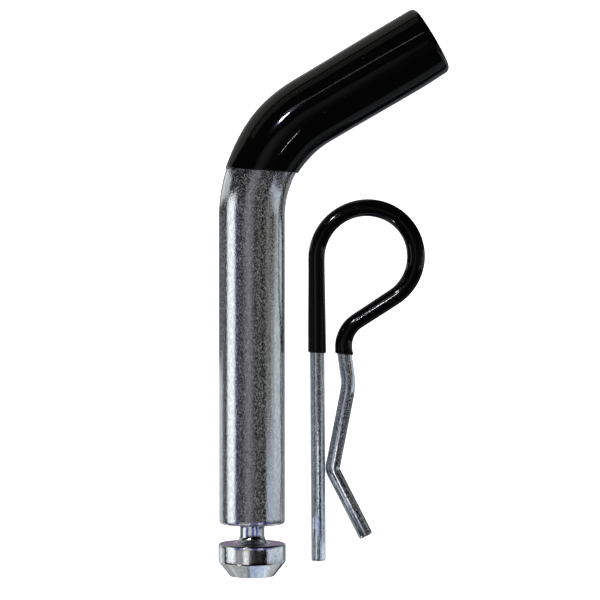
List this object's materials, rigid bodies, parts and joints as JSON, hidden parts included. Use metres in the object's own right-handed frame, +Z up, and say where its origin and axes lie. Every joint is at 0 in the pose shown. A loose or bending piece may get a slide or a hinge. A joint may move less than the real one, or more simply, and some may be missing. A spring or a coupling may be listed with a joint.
{
  "type": "hitch pin",
  "caption": "Bent steel hitch pin with a grooved tip and vinyl-dipped handle, and its loose R-shaped spring clip with a vinyl-coated loop.",
  "frame": {"origin": "centre of the flat face at the pin's tip", "axes": "+Y runs up the shank from the tip to the handle, +X is the side that the handle bends to and that the clip lies on, +Z is up from the table"},
  "size_m": [0.0557, 0.1362, 0.0176],
  "materials": {
    "zinc_plated_bar": "bright zinc plate",
    "grip_vinyl": "glossy dipped vinyl",
    "zinc_plated_wire": "mottled zinc plate",
    "clip_vinyl": "glossy vinyl"
  },
  "bodies": {
    "pin": {"pin_shank": "zinc_plated_bar", "pin_grip": "grip_vinyl"},
    "clip": {"clip_straight_wire": "zinc_plated_wire", "clip_straight_coating": "clip_vinyl"},
    "clip_spring_leg": {"clip_spring_wire": "zinc_plated_wire", "clip_spring_coating": "clip_vinyl"}
  },
  "joints": [
    {"name": "clip_lift", "type": "slide", "parent": "pin", "child": "clip", "axis": [0, 0, 1], "range_m": [0, 0.06]},
    {"name": "clip_opening", "type": "hinge", "parent": "clip", "child": "clip_spring_leg", "pos_m": [0.02789, 0.08862, -0.0066], "axis": [0, 0, 1], "range_deg": [0, 6.5], "stiffness_Nm_per_rad": 40}
  ]
}
